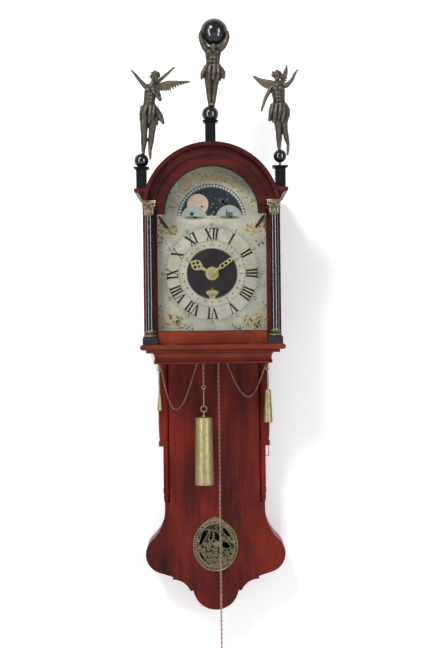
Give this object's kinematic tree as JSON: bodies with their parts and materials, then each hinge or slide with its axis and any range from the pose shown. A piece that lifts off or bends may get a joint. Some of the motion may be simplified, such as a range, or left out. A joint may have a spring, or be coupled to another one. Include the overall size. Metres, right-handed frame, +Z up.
{
  "type": "frisian tail clock",
  "caption": "Weight-driven wall clock: glazed arched hood with columns and figures over a moulded shelf, shallow trunk with chains and brass weight, and a lobed tail with pendulum window.",
  "frame": {"origin": "centre of the hanging hole at the back face of the backboard", "axes": "+Z up, front of the clock faces -Y, the wall plane is y = 0"},
  "size_m": [0.3897, 0.268, 1.5185],
  "materials": {
    "mahogany": "polished",
    "inner_wood": "plain",
    "ebonised": "ebonised, satin",
    "brass": "lacquered",
    "bronze": "dull gilt",
    "steel": "plain",
    "dial_paint": "aged paint",
    "moon_paint": "night sky paint",
    "date_paint": "paint",
    "glass": "clear"
  },
  "bodies": {
    "case": {"backboard": "mahogany", "trunk_front": "mahogany", "trunk_sides": "mahogany", "tail_rim": "mahogany", "corner_columns": "mahogany", "shelf_moulding": "mahogany", "shelf_board": "inner_wood", "seat_board": "inner_wood", "pendulum_window": "brass", "case_hooks": "steel", "front_plate": "brass", "back_plate": "brass", "movement_pillars": "brass", "pendulum_cock": "steel", "bell_stand": "brass", "bell": "brass", "dial_plate": "dial_paint", "dial_feet": "brass", "alarm_chain_left": "brass", "alarm_chain_right": "brass", "main_chain": "brass", "pull_chain": "brass"},
    "hood": {"hood_sides": "mahogany", "hood_front_frame": "mahogany", "arch_board": "mahogany", "arch_moulding": "mahogany", "side_cornices": "mahogany", "hood_roof": "mahogany", "hood_glasses": "glass", "column_shafts": "ebonised", "column_brasses": "brass", "pedestals": "ebonised", "finial_balls": "ebonised", "angel_left": "bronze", "angel_right": "bronze", "atlas": "bronze"},
    "great": {"great_wheel": "brass"},
    "sprocket": {"chain_sprocket": "brass"},
    "center": {"center_wheel": "brass"},
    "third": {"third_wheel": "brass"},
    "escape": {"escape_wheel": "brass"},
    "anchor_body": {"anchor": "steel"},
    "pendulum": {"pendulum_rod": "steel", "pendulum_bob": "brass"},
    "minute": {"cannon_pinion": "brass", "minute_hand": "brass"},
    "minute_gear": {"minute_wheel": "brass"},
    "hour": {"hour_wheel": "brass", "hour_hand": "brass"},
    "alarm_setting": {"alarm_disc": "brass"},
    "moon": {"moon_disc": "moon_paint"},
    "date": {"date_disc": "date_paint"},
    "alarm_gear": {"alarm_wheel": "brass"},
    "hammer": {"alarm_hammer": "steel"},
    "weight": {"main_weight": "brass", "weight_hook": "brass"},
    "pull": {"pull_ring": "brass"},
    "alarm_bob": {"alarm_weight": "brass"},
    "counter_bob": {"counterweight": "brass"},
    "loop": {"side_loop": "steel"}
  },
  "joints": [
    {"name": "hood_lift", "type": "slide", "parent": "case", "child": "hood", "axis": [0, 0, 1], "range_m": [0, 0.45]},
    {"name": "minute_turn", "type": "hinge", "parent": "case", "child": "minute", "pos_m": [0, -0.17, -0.2116], "axis": [0, 1, 0], "continuous": true},
    {"name": "hour_turn", "type": "hinge", "parent": "case", "child": "hour", "pos_m": [0, -0.17, -0.2116], "axis": [0, 1, 0], "continuous": true},
    {"name": "minute_wheel_turn", "type": "hinge", "parent": "case", "child": "minute_gear", "pos_m": [0.024, -0.163, -0.2116], "axis": [0, 1, 0], "continuous": true},
    {"name": "alarm_set", "type": "hinge", "parent": "hour", "child": "alarm_setting", "pos_m": [0, -0.188, -0.2116], "axis": [0, 1, 0], "continuous": true},
    {"name": "moon_turn", "type": "hinge", "parent": "case", "child": "moon", "pos_m": [0, -0.183, -0.082], "axis": [0, 1, 0], "continuous": true},
    {"name": "date_turn", "type": "hinge", "parent": "case", "child": "date", "pos_m": [0, -0.181, -0.2116], "axis": [0, 1, 0], "continuous": true},
    {"name": "escape_turn", "type": "hinge", "parent": "case", "child": "escape", "pos_m": [0, -0.092, -0.17703], "axis": [0, 1, 0], "continuous": true},
    {"name": "third_turn", "type": "hinge", "parent": "case", "child": "third", "pos_m": [0.024, -0.098, -0.18983], "axis": [0, 1, 0], "continuous": true},
    {"name": "center_turn", "type": "hinge", "parent": "case", "child": "center", "pos_m": [0, -0.1135, -0.2116], "axis": [0, 1, 0], "continuous": true},
    {"name": "great_turn", "type": "hinge", "parent": "case", "child": "great", "pos_m": [-0.006, -0.1375, -0.25115], "axis": [0, 1, 0], "continuous": true},
    {"name": "pendulum_swing", "type": "hinge", "parent": "case", "child": "pendulum", "pos_m": [0, -0.046, -0.1504], "axis": [0, 1, 0], "range_deg": [-3, 3]},
    {"name": "anchor_rock", "type": "hinge", "parent": "case", "child": "anchor_body", "pos_m": [0, -0.092, -0.1504], "axis": [0, 1, 0], "range_deg": [-3, 3]},
    {"name": "weight_drop", "type": "slide", "parent": "case", "child": "weight", "axis": [0, 0, 1], "range_m": [-0.42, 0.045], "deforming": ["main_chain"]},
    {"name": "sprocket_turn", "type": "hinge", "parent": "case", "child": "sprocket", "pos_m": [-0.006, -0.125, -0.25115], "axis": [0, 1, 0], "range_deg": [-1340, 145]},
    {"name": "pull_end", "type": "slide", "parent": "case", "child": "pull", "axis": [0, 0, 1], "range_m": [-0.045, 0.42], "deforming": ["pull_chain"]},
    {"name": "alarm_wheel_turn", "type": "hinge", "parent": "case", "child": "alarm_gear", "pos_m": [-0.003, -0.106, -0.292], "axis": [0, 1, 0], "continuous": true},
    {"name": "hammer_swing", "type": "hinge", "parent": "case", "child": "hammer", "pos_m": [0.04, -0.12, -0.151], "axis": [0, 1, 0], "range_deg": [-2, 18], "stiffness_Nm_per_rad": 0.05},
    {"name": "alarm_weight_swing", "type": "hinge", "parent": "case", "child": "alarm_bob", "pos_m": [0.13, -0.11, -0.4346], "axis": [0, 1, 0], "range_deg": [-10, 10]},
    {"name": "counterweight_swing", "type": "hinge", "parent": "case", "child": "counter_bob", "pos_m": [-0.13, -0.11, -0.4346], "axis": [0, 1, 0], "range_deg": [-10, 10]},
    {"name": "side_loop_swing", "type": "hinge", "parent": "case", "child": "loop", "pos_m": [0.129, -0.045, -0.624], "axis": [1, 0, 0], "range_deg": [-40, 40]}
  ],
  "couplings": [
    {"joint": "hour_turn", "follows": "minute_turn", "ratio": 0.083333},
    {"joint": "minute_wheel_turn", "follows": "minute_turn", "ratio": -0.33333},
    {"joint": "third_turn", "follows": "escape_turn", "ratio": -0.13333},
    {"joint": "center_turn", "follows": "escape_turn", "ratio": 0.016667},
    {"joint": "great_turn", "follows": "escape_turn", "ratio": -0.0018519},
    {"joint": "anchor_rock", "follows": "pendulum_swing", "ratio": 1},
    {"joint": "sprocket_turn", "follows": "weight_drop", "rad_per_m": 55.556},
    {"joint": "pull_end", "follows": "weight_drop", "ratio": -1}
  ]
}
